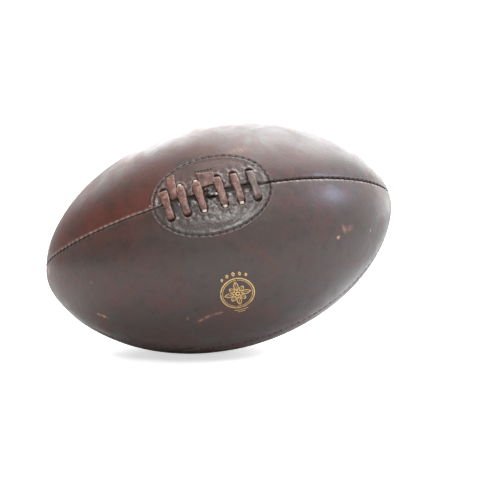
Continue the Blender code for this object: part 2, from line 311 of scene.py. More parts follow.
def seam_relief(edge, along, points, opened):
    """The rounded lip, the valley and the puckers beside a seam."""
    radius = (0.7 + 1.1 * opened) * MM
    inside = np.clip(radius - edge, 0, radius)
    lip = np.sqrt(np.maximum(radius**2 - inside**2, 0)) - radius
    valley = -0.5 * MM * np.exp(-edge / (4.5 * MM)) - 0.5 * MM * bump(edge, 15 * MM)
    beat = 0.5 + 0.5 * np.cos(math.tau * along / STITCH_PITCH)
    pucker = -0.36 * MM * beat * bump(edge, 2.4 * MM)
    folds = 0.16 * MM * lumps(points, 4.5 * MM, 3) * bump(edge - 3 * MM, 6 * MM)
    return lip * 1.1 + valley + pucker + folds


def oval_relief(x, across, points):
    """The sunken reinforcement inside the oval, with its stitch groove and its crinkles.

    With the relief come how far inside the oval each place is, and the painted shade of the groove and
    its stitch holes there.
    """
    outside, angle = oval_coordinates(x, across)
    arc, whole = oval_arc(angle)
    count = round(whole / STITCH_PITCH)
    beat = np.abs(np.mod(arc / whole * count, 1) - 0.5) * whole / count
    holes = bump(np.hypot(outside, beat - 0.5 * whole / count), 0.75 * MM)
    inside = smooth_step((1.0 * MM - outside) / (5 * MM))
    upper = smooth_step(across / (8 * MM))
    lower = 0.3 + 0.7 * smooth_step((4 * MM - across) / (12 * MM))
    sunk = -0.7 * MM * inside - 0.6 * MM * bump(across, 10 * MM) * inside
    groove = -(0.4 + 0.15 * upper) * MM * bump(outside, 0.6 * MM)
    groove -= (0.9 - 0.45 * upper) * MM * holes
    shown = 0.1 + 0.14 * smooth_step((2 * MM - across) / (10 * MM))
    roll = 0.8 * shown * MM * bump(outside - 1.4 * MM, 0.8 * MM)
    roll += 0.1 * MM * bump(outside + 2.0 * MM, 1.2 * MM)
    warped = points + 1.2 * MM * lumps(points, 5 * MM, 5)[..., None]
    ridge = 1 - np.abs(lumps(warped, 8 * MM, 4))
    small = 1 - np.abs(lumps(warped, 2.8 * MM, 7))
    crinkle = (0.2 * ridge**2 + 0.08 * small**2 + 0.07 * lumps(points, 1.25 * MM, 6)) * MM
    # Painted shade in the stitch groove and its holes
    dark = np.maximum(bump(outside, 0.65 * MM) * (0.8 + 0.4 * upper), holes)
    return sunk + groove + roll + crinkle * inside * lower, inside, dark


def lip_roll(x, across):
    """The rolled, wavy lips of the slit, which bulge between the bars."""
    from_slit = np.abs(across - slit_shift(x)) - slit_half_gap(x)
    along = smooth_step((SLIT_HALF_LENGTH - np.abs(x - LACING_X)) / (6 * MM))
    wave = 1 + 0.45 * np.sin(x / (2.3 * MM) + np.sign(across)) * np.sin(x / (5.1 * MM) + 1)
    roll = 0.6 * MM * bump(from_slit - 1.7 * MM, 1.5 * MM) * wave
    slanted = x - lean(across)
    nearest = np.min([np.abs(slanted - bar_x(index)) for index in range(BARS)], axis=0)
    bulge = smooth_step((nearest - 1.2 * MM) / (3.6 * MM))
    bulge = bulge * smooth_step((14 * MM - np.abs(across)) / (6 * MM))
    return along * (roll + 0.75 * MM * bulge)


def hole_relief(x, across):
    """Pits through the cover at the lace holes, with the rims and wrinkles that the lace pulls up."""
    pit, rim, wrinkles = np.zeros((3, *across.shape))
    slanted = x - lean(across)
    for index in range(BARS):
        for side in (-1, 1):
            centre = hole_x(index, side)
            offset = across - side * HOLE_OFFSET
            edge = np.hypot((x - centre) * 0.95, offset * 0.9) - HOLE_RADIUS
            pit = np.maximum(pit, 1 - smooth_step((edge + 0.3 * MM) / (0.9 * MM)))
            rim += bump(edge - 1.1 * MM, 1.0 * MM)
            fan = np.cos(7 * np.arctan2(x - centre, side * offset) + index + side)
            wrinkles += fan * bump(edge - 2.5 * MM, 3.0 * MM)
        under_bar = smooth_step((13 * MM - np.abs(across)) / (4 * MM))
        rim -= 0.9 * bump(slanted - bar_x(index), 3.2 * MM) * under_bar
    return pit, rim, wrinkles


def undulation(points):
    """The slow unevenness of old leather, with a few soft dents."""
    slow = 0.45 * lumps(points, 60 * MM, 11) + 0.1 * lumps(points, 25 * MM, 12)
    return (slow + 0.05 * lumps(points, 9 * MM, 13)) * MM


# Meshes


def linked(name, data):
    made = bpy.data.objects.new(name, data)
    bpy.context.scene.collection.objects.link(made)
    return made


def mesh_from(name, verts, faces, look):
    mesh = bpy.data.meshes.new(name)
    faces = faces if isinstance(faces, list) else faces.tolist()
    mesh.from_pydata(np.asarray(verts).reshape(-1, 3).tolist(), [], faces)
    mesh.materials.append(look)
    return mesh


def piece(name, verts, faces, look, slot, thickness=0, **attributes):
    """A smooth piece of the ball. One with a CAD node's name stands for that node."""
    mesh = mesh_from(name, verts, faces, look)
    mesh.shade_smooth()
    for key, values in attributes.items():
        values = np.asarray(values, dtype=np.float32).ravel()
        mesh.attributes.new(key, "FLOAT", "POINT").data.foreach_set("value", values)
    made = linked(f"{name}_piece", mesh)
    if thickness:
        modifier = made.modifiers.new("Thickness", "SOLIDIFY")
        modifier.thickness = thickness
        modifier.offset = -1
    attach(made, "root")
    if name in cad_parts:
        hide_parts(name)
    return made


def grid_faces(rows, columns, wrap=False):
    across = columns if wrap else columns - 1
    row, column = np.meshgrid(np.arange(rows - 1), np.arange(across), indexing="ij")
    first = row * columns + column
    second = row * columns + (column + 1) % columns
    return np.stack([first, first + columns, second + columns, second], -1).reshape(-1, 4)


def spaced(start, end, spacing):
    """Values from start to end whose steps follow spacing(value)."""
    values = [start]
    while values[-1] < end:
        values.append(values[-1] + spacing(values[-1]))
    values = np.array(values)
    return start + (values - start) * (end - start) / (values[-1] - start)


def swept(stations, thickness, look, name):
    """A flat strip with rounded edges, through stations as station() gives them."""
    centres = stations[:, :3]
    edges = stations[:, 3:]
    normals = unit(np.cross(unit(np.gradient(centres, axis=0)), edges))
    sides = STRIP_SIDES
    turns = ring(sides)
    wide = np.sign(np.cos(turns)) * np.abs(np.cos(turns)) ** STRIP_CORNERS[0]
    thick = np.sign(np.sin(turns)) * np.abs(np.sin(turns)) ** STRIP_CORNERS[1]
    rings = centres[:, None] + edges[:, None] * wide[None, :, None]
    rings = rings + normals[:, None] * (thick[None, :, None] * thickness)
    verts = np.concatenate([rings.reshape(-1, 3), centres[:1], centres[-1:]])
    faces = grid_faces(len(centres), sides, wrap=True).tolist()
    last = len(rings) * sides
    for side in range(sides):
        following = (side + 1) % sides
        faces.append([last, side, following])
        faces.append([last + 1, last - sides + following, last - sides + side])
    edge = np.append(np.tile(np.abs(wide) ** 6, len(centres)), [1, 1])
    return piece(name, verts, faces, look, "lace_leather", edge=edge)


def smoothed(values, steps):
    """A Catmull-Rom curve through the values, with steps between each two."""
    values = np.asarray(values, dtype=float)
    padded = np.concatenate([2 * values[:1] - values[1:2], values, 2 * values[-1:] - values[-2:-1]])
    made = []
    for index in range(len(values) - 1):
        a, b, c, d = padded[index : index + 4]
        for t in np.arange(steps) / steps:
            square = (2 * a - 5 * b + 4 * c - d) * t**2
            made.append(0.5 * (2 * b + (c - a) * t + square + (3 * b - a - 3 * c + d) * t**3))
    made.append(values[-1])
    return np.array(made)


# Materials


class Nodes:
    """Short calls that make a tree's nodes."""

    def __init__(self, tree):
        self.tree = tree

    def fill(self, socket, value):
        if isinstance(value, bpy.types.NodeSocket):
            self.tree.links.new(value, socket)
        else:
            socket.default_value = value

    def node(self, kind, inputs=None, **settings):
        made = self.tree.nodes.new(kind)
        for key, value in settings.items():
            setattr(made, key, value)
        for key, value in (inputs or {}).items():
            self.fill(made.inputs[key], value)
        return made

    def math(self, operation, first, second, clamp=False):
        inputs = {0: first, 1: second}
        made = self.node("ShaderNodeMath", inputs, operation=operation, use_clamp=clamp)
        return made.outputs[0]

    def times(self, first, second):
        return self.math("MULTIPLY", first, second)

    def range(self, value, low, high, to_low=0.0, to_high=1.0, kind="SMOOTHSTEP"):
        inputs = {"Value": value, "From Min": low, "From Max": high}
        inputs.update({"To Min": to_low, "To Max": to_high})
        made = self.node("ShaderNodeMapRange", inputs, interpolation_type=kind)
        return made.outputs["Result"]


class Look(Nodes):
    """A node material. It keeps the colour and the normal that its steps build up."""

    def __init__(self, name, **values):
        self.material = bpy.data.materials.new(name)
        self.material.use_nodes = True
        super().__init__(self.material.node_tree)
        self.shader = self.tree.nodes["Principled BSDF"]
        for socket, value in values.items():
            self.shader.inputs[socket.replace("_", " ")].default_value = value
        self.position = self.node("ShaderNodeTexCoord").outputs["Object"]
        self.colour = None
        self.normal = None

    def noise(self, size, detail=3, roughness=0.55, distortion=0.0):
        inputs = {"Vector": self.position, "Scale": 1 / size, "Detail": detail}
        inputs.update({"Roughness": roughness, "Distortion": distortion})
        return self.node("ShaderNodeTexNoise", inputs).outputs["Fac"]

    def cells(self, size):
        inputs = {"Vector": self.position, "Scale": 1 / size}
        made = self.node("ShaderNodeTexVoronoi", inputs, feature="DISTANCE_TO_EDGE")
        return made.outputs["Distance"]

    def mix(self, factor, *colours):
        """A mix of two colours, in a Mix node's sixth and seventh sockets."""
        made = self.node("ShaderNodeMix", {"Factor": factor}, data_type="RGBA")
        for key, colour in zip((6, 7), colours):
            plain = isinstance(colour, tuple)
            self.fill(made.inputs[key], (*colour, 1.0) if plain else colour)
        return made.outputs[2]

    def paint(self, factor, colour):
        self.colour = self.mix(factor, self.colour, colour)

    def attribute(self, name):
        return self.node("ShaderNodeAttribute", attribute_name=name).outputs["Fac"]

    def bump(self, height, distance, strength):
        inputs = {"Height": height, "Distance": distance, "Strength": strength}
        if self.normal:
            inputs["Normal"] = self.normal
        self.normal = self.node("ShaderNodeBump", inputs).outputs["Normal"]

    def finish(self, roughness=None, **sockets):
        links = dict(sockets, Base_Color=self.colour, Roughness=roughness, Normal=self.normal)
        for name, socket in links.items():
            if socket is not None:
                self.tree.links.new(socket, self.shader.inputs[name.replace("_", " ")])
        return self.material


# Scuffs and scratches on the cover: x, degrees round from the laced seam, half-length and
# half-width in mm, degrees of slant from the ball's axis, and strength
MARKS = (
    (-100.5, -57.3, 6.8, 2.1, -12, 1.3),
    (-37, -57.8, 2.6, 1.6, 50, 0.8),
    (-27.5, -60.0, 3.6, 1.3, 30, 0.9),
    (-22.5, -58.4, 3.4, 1.1, 30, 0.8),
    (-14, -57.4, 6.0, 1.5, 4, 0.6),
    (86.2, -38.3, 2.3, 1.9, 20, 1.4),
    (92, -34.0, 1.7, 5.5, 14, 0.4),
    (96.7, -35.6, 1.5, 2.6, 0, 0.3),
    (114.2, -46.2, 0.9, 2.0, 0, 0.7),
    (-43.9, 2.1, 1.5, 0.9, 10, 1.0),
    (-100.8, -30.7, 2.2, 1.4, 10, 0.5),
    (-138.2, -4.0, 2.4, 4.2, 0, 0.8),
    (60, 70.0, 3.0, 1.0, 40, 0.8),
    (-70, 110.0, 5.0, 0.9, -30, 0.8),
    (20, 150.0, 9.0, 2.5, 15, 0.6),
    (95, 165.0, 3.0, 1.5, -40, 0.9),
    (-30, 205.0, 6.0, 1.0, 25, 0.8),
    (75, 235.0, 4.0, 2.0, 70, 0.6),
)

# Rubbed places, in the same terms
SMUDGES = (
    (29.5, 20.5, 12.0, 4.2, 0, 0.6),
    (-137.5, -5.0, 4.5, 6.5, 0, 1.0),
    (96.7, -35.6, 6.0, 4.0, 0, 0.4),
    (92.8, -35.2, 4.2, 4.6, 0, 0.7),
    (-24, -59.0, 12.0, 3.2, 20, 0.25),
    (40, 120.0, 18.0, 7.0, 30, 0.45),
    (-60, 195.0, 14.0, 6.0, -20, 0.45),
)
MARK_DEPTH = 6 * MM


def mark_mask(look, mark):
    x, turn, half_length, half_width, slant, strength = mark
    latitude = math.asin(x * MM / HALF_LENGTH)
    place = skin_frame(latitude, LACE_SEAM + math.radians(turn))
    place = place @ Matrix.Rotation(math.radians(slant), 4, "Z")
    inputs = {
        "Vector": look.position,
        "Location": place.translation,
        "Rotation": place.to_euler(),
        "Scale": (half_length * MM, half_width * MM, MARK_DEPTH),
    }
    local = look.node("ShaderNodeMapping", inputs, vector_type="TEXTURE").outputs["Vector"]
    away = look.node("ShaderNodeVectorMath", {0: local}, operation="LENGTH").outputs["Value"]
    return look.range(away, 1.0, 0.2, 0.0, strength)


def marks_mask(look, marks):
    mask = mark_mask(look, marks[0])
    for mark in marks[1:]:
        mask = look.math("MAXIMUM", mask, mark_mask(look, mark))
    return mask


def cover_leather():
    look = Look("cover_leather", Coat_Weight=0.3, Coat_Roughness=0.25)
    redness = look.attribute("redness")
    oval = look.attribute("oval")
    clouds = look.noise(55 * MM, 4, 0.6, 0.4)
    patches = look.noise(20 * MM, 5, 0.62, 0.8)
    mottle = look.noise(7 * MM, 5, 0.65)
    fine = look.noise(1.5 * MM, 4, 0.6)
    warm = look.math("ADD", redness, look.range(clouds, 0.35, 0.68, -0.22, 0.22))
    warm = look.math("ADD", warm, look.range(patches, 0.35, 0.65, -0.12, 0.12), clamp=True)
    look.colour = look.mix(warm, (0.045, 0.030, 0.026), (0.092, 0.018, 0.009))
    look.paint(look.range(patches, 0.30, 0.52, 0.38, 0.0), (0.024, 0.016, 0.013))
    look.paint(look.range(mottle, 0.52, 0.7, 0.0, 0.28), (0.085, 0.034, 0.022))
    look.paint(look.range(mottle, 0.33, 0.48, 0.36, 0.0), (0.018, 0.012, 0.010))
    oval_tone = look.mix(redness, (0.066, 0.056, 0.050), (0.112, 0.064, 0.054))
    look.paint(look.times(oval, 0.44), oval_tone)
    look.paint(look.range(fine, 0.6, 0.72, 0.0, 0.35), (0.13, 0.055, 0.035))
    # Pale seam lips and hole rims: wear, with a painted highlight where they catch the light
    worn = look.range(mottle, 0.35, 0.65, 0.45, 0.9)
    worn = look.times(look.attribute("edge"), worn)
    look.paint(worn, (0.37, 0.27, 0.23))
    ragged = look.range(look.noise(1.3 * MM, 5, 0.75, 0.8), 0.42, 0.6)
    marks = look.math("MULTIPLY", marks_mask(look, MARKS), ragged, clamp=True)
    speckle = look.range(look.noise(0.9 * MM, 5, 0.8), 0.4, 0.62, 0.15, 1.0)
    rubbed = look.times(marks_mask(look, SMUDGES), speckle)
    look.paint(rubbed, (0.30, 0.13, 0.08))
    look.paint(marks, (0.56, 0.29, 0.17))
    # Painted shade: near black in the seam gaps, the lace holes and the oval's stitch groove
    look.paint(look.attribute("shade"), (0.004, 0.003, 0.0025))
    rough = look.range(patches, 0.3, 0.7, 0.34, 0.54)
    rough = look.math("SUBTRACT", rough, look.times(oval, 0.06))
    polish = look.times(look.attribute("polish"), 0.22)
    rough = look.math("SUBTRACT", rough, polish)
    rough = look.math("ADD", rough, look.times(marks, 0.25))
    look.bump(patches, 0.4 * MM, 0.2)
    look.bump(mottle, 0.18 * MM, 0.35)
    look.bump(look.range(look.noise(3.2 * MM, 3, 0.5, 1.5), 0.42, 0.5), 0.12 * MM, 0.3)
    look.bump(look.range(look.cells(1.1 * MM), 0.0, 0.35), 0.07 * MM, 0.3)
    look.bump(fine, 0.08 * MM, 0.35)
    look.bump(look.noise(1.2 * MM, 3, 0.6), 0.4 * MM, look.times(oval, 0.45))
    look.bump(marks, 0.15 * MM, 0.4)
    return look.finish(rough)


# Plain, worn and dark colours of the thinner leathers
LEATHERS = {
    "lace_leather": ((0.21, 0.088, 0.062), (0.50, 0.36, 0.30), (0.075, 0.029, 0.021)),
    "lace_leather_greyed": ((0.12, 0.07, 0.055), (0.25, 0.17, 0.14), (0.06, 0.038, 0.03)),
    "lace_leather_pale": ((0.26, 0.115, 0.088), (0.55, 0.40, 0.35), (0.10, 0.042, 0.033)),
    "lace_leather_dark": ((0.155, 0.066, 0.049), (0.30, 0.19, 0.155), (0.06, 0.027, 0.021)),
    "facing_leather": ((0.30, 0.17, 0.09), (0.4, 0.26, 0.16), (0.2, 0.1, 0.05)),
}


def thin_leather(name):
    base, worn, dark = LEATHERS[name]
    look = Look(name, Coat_Weight=0.25, Coat_Roughness=0.25)
    mottle = look.noise(4 * MM, 5, 0.7, 0.6)
    streaks = look.noise(1.1 * MM, 4, 0.7)
    look.colour = look.mix(look.range(mottle, 0.38, 0.6), dark, base)
    look.paint(look.range(mottle, 0.55, 0.72, 0.0, 0.7), worn)
    edge = look.times(look.attribute("edge"), look.range(streaks, 0.4, 0.65))
    look.paint(look.times(edge, 0.5), worn)
    look.paint(look.range(streaks, 0.5, 0.32, 0.0, 0.55), dark)
    look.bump(mottle, 0.5 * MM, 0.5)
    look.bump(look.range(look.cells(0.7 * MM), 0.0, 0.3), 0.06 * MM, 0.4)
    look.bump(streaks, 0.15 * MM, 0.6)
    return look.finish(look.range(mottle, 0.3, 0.7, 0.32, 0.55))


def suede():
    look = Look("suede", Sheen_Weight=0.25)
    nap = look.noise(0.5 * MM, 4, 0.7)
    look.colour = look.mix(look.noise(4 * MM, 4), (0.50, 0.42, 0.32), (0.66, 0.58, 0.47))
    # Painted shade: near black where the sheet lies in the slit's shadow
    look.paint(look.attribute("grime"), (0.03, 0.02, 0.016))
    look.bump(nap, 0.12 * MM, 0.6)
    return look.finish(look.range(nap, 0.3, 0.7, 0.7, 0.95))


def thread(name, light, dark):
    look = Look(name, Specular_IOR_Level=0.4)
    strands = look.noise(0.35 * MM, 3, 0.6)
    look.colour = look.mix(look.range(strands, 0.35, 0.65), dark, light)
    look.bump(strands, 0.08 * MM, 0.7)
    return look.finish(look.range(strands, 0.3, 0.7, 0.5, 0.8))


def rubber():
    look = Look("rubber", Coat_Weight=0.15, Coat_Roughness=0.2)
    bloom = look.noise(3 * MM, 5, 0.6)
    look.colour = look.mix(look.range(bloom, 0.4, 0.7), (0.012, 0.009, 0.008), (0.05, 0.032, 0.024))
    look.bump(bloom, 0.35 * MM, 0.6)
    return look.finish(look.range(bloom, 0.3, 0.7, 0.34, 0.54))


def canvas():
    look = Look("canvas")
    threads = []
    for angle in (0, 90):
        inputs = {"Vector": look.position, "Rotation": (LACE_SEAM, 0, math.radians(angle))}
        turned = look.node("ShaderNodeMapping", inputs).outputs["Vector"]
        inputs = {"Vector": turned, "Scale": 1 / (6.0 * MM), "Distortion": 0.4}
        wave = look.node("ShaderNodeTexWave", inputs, bands_direction="X")
        threads.append(wave.outputs["Fac"])
    weave = look.times(*threads)
    stain = look.noise(30 * MM, 4)
    look.colour = look.mix(look.range(stain, 0.35, 0.7), (0.50, 0.42, 0.30), (0.34, 0.26, 0.17))
    look.paint(look.times(weave, 0.35), (0.62, 0.55, 0.43))
    look.bump(weave, 0.2 * MM, 0.6)
    return look.finish(look.range(stain, 0.3, 0.7, 0.85, 0.95))


def gold_foil():
    look = Look("gold_foil")
    lost = look.range(look.noise(1.5 * MM, 6, 0.75, 0.5), 0.53, 0.63)
    tone = look.noise(4 * MM, 3)
    gold = look.mix(tone, (0.62, 0.36, 0.09), (0.86, 0.60, 0.24))
    look.colour = look.mix(lost, gold, (0.075, 0.048, 0.038))
    look.bump(look.noise(0.8 * MM, 4), 0.05 * MM, 0.5)
    metal = look.range(lost, 0.0, 1.0, 0.55, 0.0)
    return look.finish(look.range(tone, 0.3, 0.7, 0.30, 0.45), Metallic=metal)


# Pieces of the cover. Mesh steps: at a seam, over the lace holes, over the oval, and elsewhere
SEAM_STEP = 0.12 * MM
SEAM_STEP_GROWTH = 0.16
HOLE_STEP = 0.46 * MM
OVAL_STEP = 0.66 * MM
OVAL_ROW_STEP = 0.8 * MM
PLAIN_STEP = 2.2 * MM
PLAIN_ROW_STEP = 1.6 * MM


def column_distances(width, laced):
    """Arc distances from a seam, close together at both seams and over the lacing."""

    def spacing(value):
        if laced and 1.6 * MM <= value < 36 * MM:
            return HOLE_STEP if value < 18.5 * MM else OVAL_STEP
        near = min(value, width - value)
        return SEAM_STEP + SEAM_STEP_GROWTH * max(near, 0) if near < 13 * MM else PLAIN_STEP

    return spaced(0, width, spacing)


def row_positions(laced):
    """x from tip to tip, close together over the lacing."""
    end = HALF_LENGTH * math.sin(TIP_LATITUDE)

    def spacing(x):
        from_lacing = abs(x - LACING_X)
        if laced and from_lacing < 50 * MM:
            return HOLE_STEP if from_lacing < 37 * MM else OVAL_ROW_STEP
        return min(PLAIN_ROW_STEP, 0.15 * MM + 0.09 * (end - abs(x)))

    return spaced(-end, end, spacing)


# The upper panel, the lower panel and the rear ones: redness, how it falls along x, how uneven
# it is, how much the oval takes from it, how pale the oval is, and the reach of the seams' painted
# shade
PANEL_TONES = {
    1: (0.62, 0.26, 0.25, 0.1, 1.4, 1.0),
    -1: (0.2, 0.8, 0.15, 0.25, 1.0, 0.45),
    0: (0.4, 0.8, 0.25, 0.1, 1.4, 0.7),
}


def cover_panel(name, step, side, look):
    """One panel. side is 1 or -1 for the panels above and below the laced seam, or 0."""
    x = row_positions(side != 0)
    latitude = np.arcsin(x / HALF_LENGTH)
    width = HALF_WIDTH * QUARTER
    shares = column_distances(width, side != 0) / width
    if side < 0:
        shares = 1 - shares[::-1]
    radius = radius_at(latitude)[:, None]
    gap = slit_half_gap(x)[:, None]
    shift = slit_shift(x)[:, None]
    start = gap + shift if side > 0 else SEAM_GAP
    end = gap - shift if side < 0 else SEAM_GAP
    arc = start + (radius * QUARTER - start - end) * shares[None, :]
    turn = LACE_SEAM + step * QUARTER + arc / radius
    latitude = latitude[:, None] + 0 * turn
    along = meridian_length(latitude)
    latitude, turn = off_centre(latitude, turn)
    points = skin(latitude, turn)
    redness, fall, uneven, oval_loss, oval_paleness, seam_shade = PANEL_TONES[side]
    relief = undulation(points)
    beat = 0.65 - 0.35 * np.cos(math.tau * along / STITCH_PITCH)
    lip, shade, oval, polish, pit = np.zeros((5, *arc.shape))
    for edge, laced in ((arc - start, side > 0), (radius * QUARTER - end - arc, side < 0)):
        opened = openness(x, laced)[:, None]
        lip_wear_and_highlight = seam_wear_and_highlight(x, laced, side)[:, None] * beat
        relief += seam_relief(edge, along, points, opened)
        relief += 0.4 * MM * lip_wear_and_highlight * bump(edge - (0.8 + 0.9 * opened) * MM, 0.8 * MM)
        lip = np.maximum(lip, lip_wear_and_highlight * bump(edge - (0.7 + 0.9 * opened) * MM, 0.95 * MM))
        # Painted shade in the seam's gap, reaching further where the seam is pulled open
        reach = (0.15 + 1.1 * seam_shade * opened) * MM
        shade = np.maximum(shade, 0.9 * np.exp(-edge / reach))
    if side:
        across = arc if side > 0 else arc - radius * QUARTER
        x_grid = x[:, None] + 0 * arc
        shape, oval, groove = oval_relief(x_grid, across, points)
        pit, rim, wrinkles = hole_relief(x_grid, across)
        shape += lip_roll(x_grid, across) + 0.4 * MM * rim + 0.16 * MM * wrinkles
        relief += shape * (1 - pit) - HOLE_DEPTH * pit
        # The raised rims round the lace holes take the pale lip colour: wear and a painted highlight
        lip = np.maximum(lip, 0.3 * np.clip(rim, 0, 1))
        near_slit = bump(np.abs(across - shift) - gap - 1.5 * MM, 2.2 * MM)
        polish = near_slit * smooth_step((SLIT_HALF_LENGTH - np.abs(x_grid)) / (10 * MM))
        # The lace holes and the oval's stitch groove get painted shade as well
        shade = np.maximum(np.maximum(pit, shade), groove * 0.8)
    faces = grid_faces(*arc.shape)
    covered = pit.ravel()[faces].min(axis=1) < HOLE_OPEN
    verts = raised(latitude, turn, relief)
    redness = redness - x[:, None] / fall + uneven * lumps(points, 45 * MM, 21) - oval_loss * oval
    tones = {"redness": np.clip(redness, 0, 1), "oval": oval * oval_paleness, "polish": polish}
    tones.update(edge=np.clip(lip, 0, 1), shade=np.clip(shade, 0, 1))
    return piece(name, verts, faces[covered], look, "cover_leather", LEATHER, **tones)


# Threads


def capsule(points, radius, sides=THREAD_SIDES):
    """Verts and faces of a round-ended thread along points."""
    tangents = unit(np.gradient(points, axis=0))
    first = unit(np.cross(tangents, np.array([0.31, 0.17, 0.93])))
    second = np.cross(tangents, first)
    turns = ring(sides)
    taper = np.sqrt(np.maximum(1 - np.linspace(-1, 1, len(points)) ** 6, 0.02)) * radius
    spokes = first[:, None] * np.cos(turns)[:, None] + second[:, None] * np.sin(turns)[:, None]
    rings = points[:, None] + taper[:, None, None] * spokes
    return rings.reshape(-1, 3), grid_faces(len(points), sides, wrap=True)


def joined(name, parts, look, slot, **attributes):
    verts = [part[0] for part in parts]
    starts = np.cumsum([0, *map(len, verts)])
    faces = [part[1] + start for part, start in zip(parts, starts)]
    return piece(name, np.concatenate(verts), np.concatenate(faces), look, slot, **attributes)


def seam_stitches(name, step, start, end, look):
    """Short threads across a seam's valley, one at each pucker."""
    samples = np.linspace(start, end, 400)
    lengths = meridian_length(samples)
    first = math.ceil(lengths[0] / STITCH_PITCH)
    last = math.floor(lengths[-1] / STITCH_PITCH)
    seam = LACE_SEAM + step * QUARTER
    reach = np.linspace(-1, 1, STITCH_STEPS)
    parts = []
    for count in range(first, last + 1):
        latitude = np.interp(count * STITCH_PITCH + STITCH_SLANT * reach, lengths, samples)
        turn = seam + reach * STITCH_REACH / radius_at(latitude)
        height = (-1.05 - 1.5 * np.abs(reach) ** 4) * MM
        parts.append(capsule(raised(*off_centre(latitude, turn), height), STITCH_RADIUS))
    joined(name, parts, look, "linen_thread")


def oval_stitches(look):
    """Stitches in the groove round the lacing, deeper above the slit."""
    whole = oval_arc(0.0)[1]
    count = round(whole / STITCH_PITCH)
    samples = np.linspace(0, math.tau, 1441)
    arcs = np.append(oval_arc(samples[:-1])[0], whole)
    reach = np.linspace(-1, 1, STITCH_STEPS)
    parts = []
    for index in range(count):
        middle = (index + 0.5) / count * whole
        angle = np.interp(middle + reach * OVAL_STITCH_REACH, arcs, samples)
        x = LACING_X + STITCH_OVAL[0] * np.cos(angle)
        across = STITCH_OVAL[1] * np.sin(angle)
        deeper = 0.22 * smooth_step(across / (8 * MM))
        height = (-0.72 - deeper - 0.9 * np.abs(reach) ** 4) * MM
        parts.append(capsule(lace_point(x, across, height), STITCH_RADIUS))
    joined("stitch_oval", parts, look, "linen_thread")


# Lacing


def station(x, across, height, half_width, heading):
    """A point on the lace and the vector to its edge, square to its heading on the skin."""
    latitude, turn = lace_angles(x, across)
    place = skin_frame(latitude, turn, height)
    heading = Vector(heading).normalized()
    edge = place.to_3x3() @ Vector((-heading.y, heading.x, 0))
    return [*place.translation, *(edge * half_width)]


# Half of a bar, from its end below a hole to beside the slit: across, height and share of width
BAR_PATH = (
    (HOLE_OFFSET - 0.1 * MM, -4.8 * MM, 0.80),
    (HOLE_OFFSET + 0.1 * MM, -2.6 * MM, 0.84),
    (HOLE_OFFSET - 0.1 * MM, -1.0 * MM, 0.90),
    (HOLE_OFFSET - 1.2 * MM, 0.35 * MM, 0.97),
    (HOLE_OFFSET - 3.6 * MM, 0.85 * MM, 1.0),
    (2.4 * MM, 0.95 * MM, 1.0),
)
BAR_SEED = 40


def lace_bar(index):
    """Stations of one bar over the slit, with both of its ends down through the holes."""
    rng = np.random.default_rng(BAR_SEED + index)
    width = LACE_HALF_WIDTH * rng.uniform(0.94, 1.04)
    path = [(-across, height, share) for across, height, share in BAR_PATH] + list(BAR_PATH[::-1])
    stations = []
    for across, height, share in path:
        half = width * share * (1.05 if across > 0 else 0.9)
        x = bar_x(index) + lean(across)
        stations.append(station(x, across, height, half, (-0.06, 1)))
    stations = smoothed(stations, 8)
    wobble = 1 + 0.05 * np.sin(np.linspace(0, 11, len(stations)) + index)
    stations[:, 3:] *= wobble[:, None]
    return stations


def lace_run(index):
    """Stations of the run behind the facings, from a bar to the next one."""
    middle = index == BARS / 2 - 1
    side = -1 if index < BARS / 2 else 1
    x = hole_x(index, side)
    reach = hole_x(index + 1, side if middle else -side) - x
    steps = np.linspace(0, 1, 13)
    if middle:
        xs = x + reach * (1 - np.cos(math.pi * steps)) / 2
        arcs = side * (HOLE_OFFSET - RUN_DETOUR * np.sin(math.pi * steps))
    else:
        xs = x + reach * smooth_step(steps)
        arcs = side * HOLE_OFFSET * (1 - 2 * steps)
    headings = np.gradient(np.stack([xs, arcs], -1), axis=0)
    path = zip(xs, arcs, headings)
    return np.array([station(*place, -RUN_DEPTH, RUN_HALF_WIDTH, heading) for *place, heading in path])


def lace(look, greyed):
    """The six bars and the runs that join them behind the facings."""
    looks = [look] * (BARS - 1) + [greyed]
    bars = [
        swept(lace_bar(index), LACE_HALF_THICKNESS, looks[index], f"lace_bar_{index + 1}")
        for index in range(BARS)
    ]
    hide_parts("lace")
    for index in range(BARS - 1):
        swept(lace_run(index), LACE_HALF_THICKNESS, look, f"lace_run_{index + 1}")


# The loose end, out of the slit and flat on the cover: x, across and height in mm
TAIL_PATH = (
    (-24.6, 3.4, -4.2),
    (-24.6, 3.8, -2.2),
    (-24.6, 5.0, -0.1),
    (-24.6, 7.6, 0.45),
    (-24.6, 11.0, 0.35),
    (-24.6, 15.0, 0.7),
    (-24.5, 18.6, 1.0),
    (-24.4, 20.9, 0.9),
)


def lace_tail(look):
    """The loose end, between the first two bars."""
    stations = [
        station(x * MM, across * MM, height * MM, TAIL_HALF_WIDTH, (-0.1, 1))
        for x, across, height in TAIL_PATH
    ]
    swept(smoothed(stations, 6), TAIL_HALF_THICKNESS, look, "lace_tail")


# The tab above the slit, in mm: where its foot is, its length and how that falls to the right, its
# half-width and how that grows. Then its stitches
TAB_FOOT = 5.6
TAB_LENGTH = (11.8, 1.8)
TAB_HALF_WIDTH = (5.3, 1.3)
TAB_STITCHES = 6
TAB_STITCHES_START = (-5.8, 20.7)
TAB_STITCH_PITCH = 2.35
TAB_STITCH_RADIUS = 0.3 * MM


